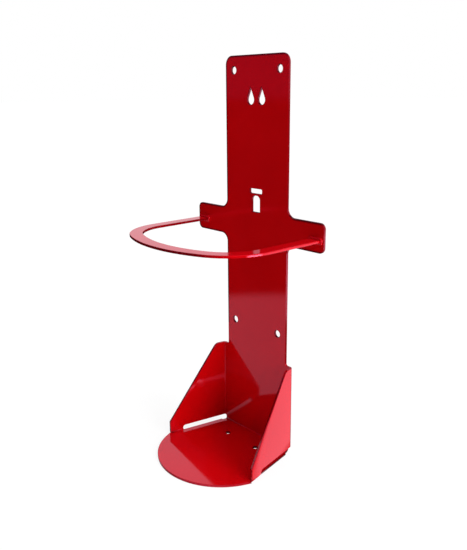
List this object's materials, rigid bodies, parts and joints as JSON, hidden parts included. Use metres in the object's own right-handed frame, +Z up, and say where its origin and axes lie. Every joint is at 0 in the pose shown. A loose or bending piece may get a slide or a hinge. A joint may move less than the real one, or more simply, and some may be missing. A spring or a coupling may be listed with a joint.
{
  "type": "fire extinguisher wall bracket",
  "caption": "Red folded-sheet wall bracket for a small fire extinguisher: tall perforated plate, gusseted shelf with a round front, and a level U-shaped hoop welded to side ears",
  "frame": {"origin": "on the floor plane under the middle of the bounding box, which spans from the hoop's front to the plate's back face", "axes": "+Z up, +Y towards the wall, +X to the right as seen from the front"},
  "size_m": [0.208, 0.148, 0.461],
  "materials": {
    "red_coat": "glossy"
  },
  "bodies": {
    "root": {"bracket_sheet": "red_coat", "hoop": "red_coat", "hoop_weld_left": "red_coat", "hoop_weld_right": "red_coat"}
  },
  "joints": []
}
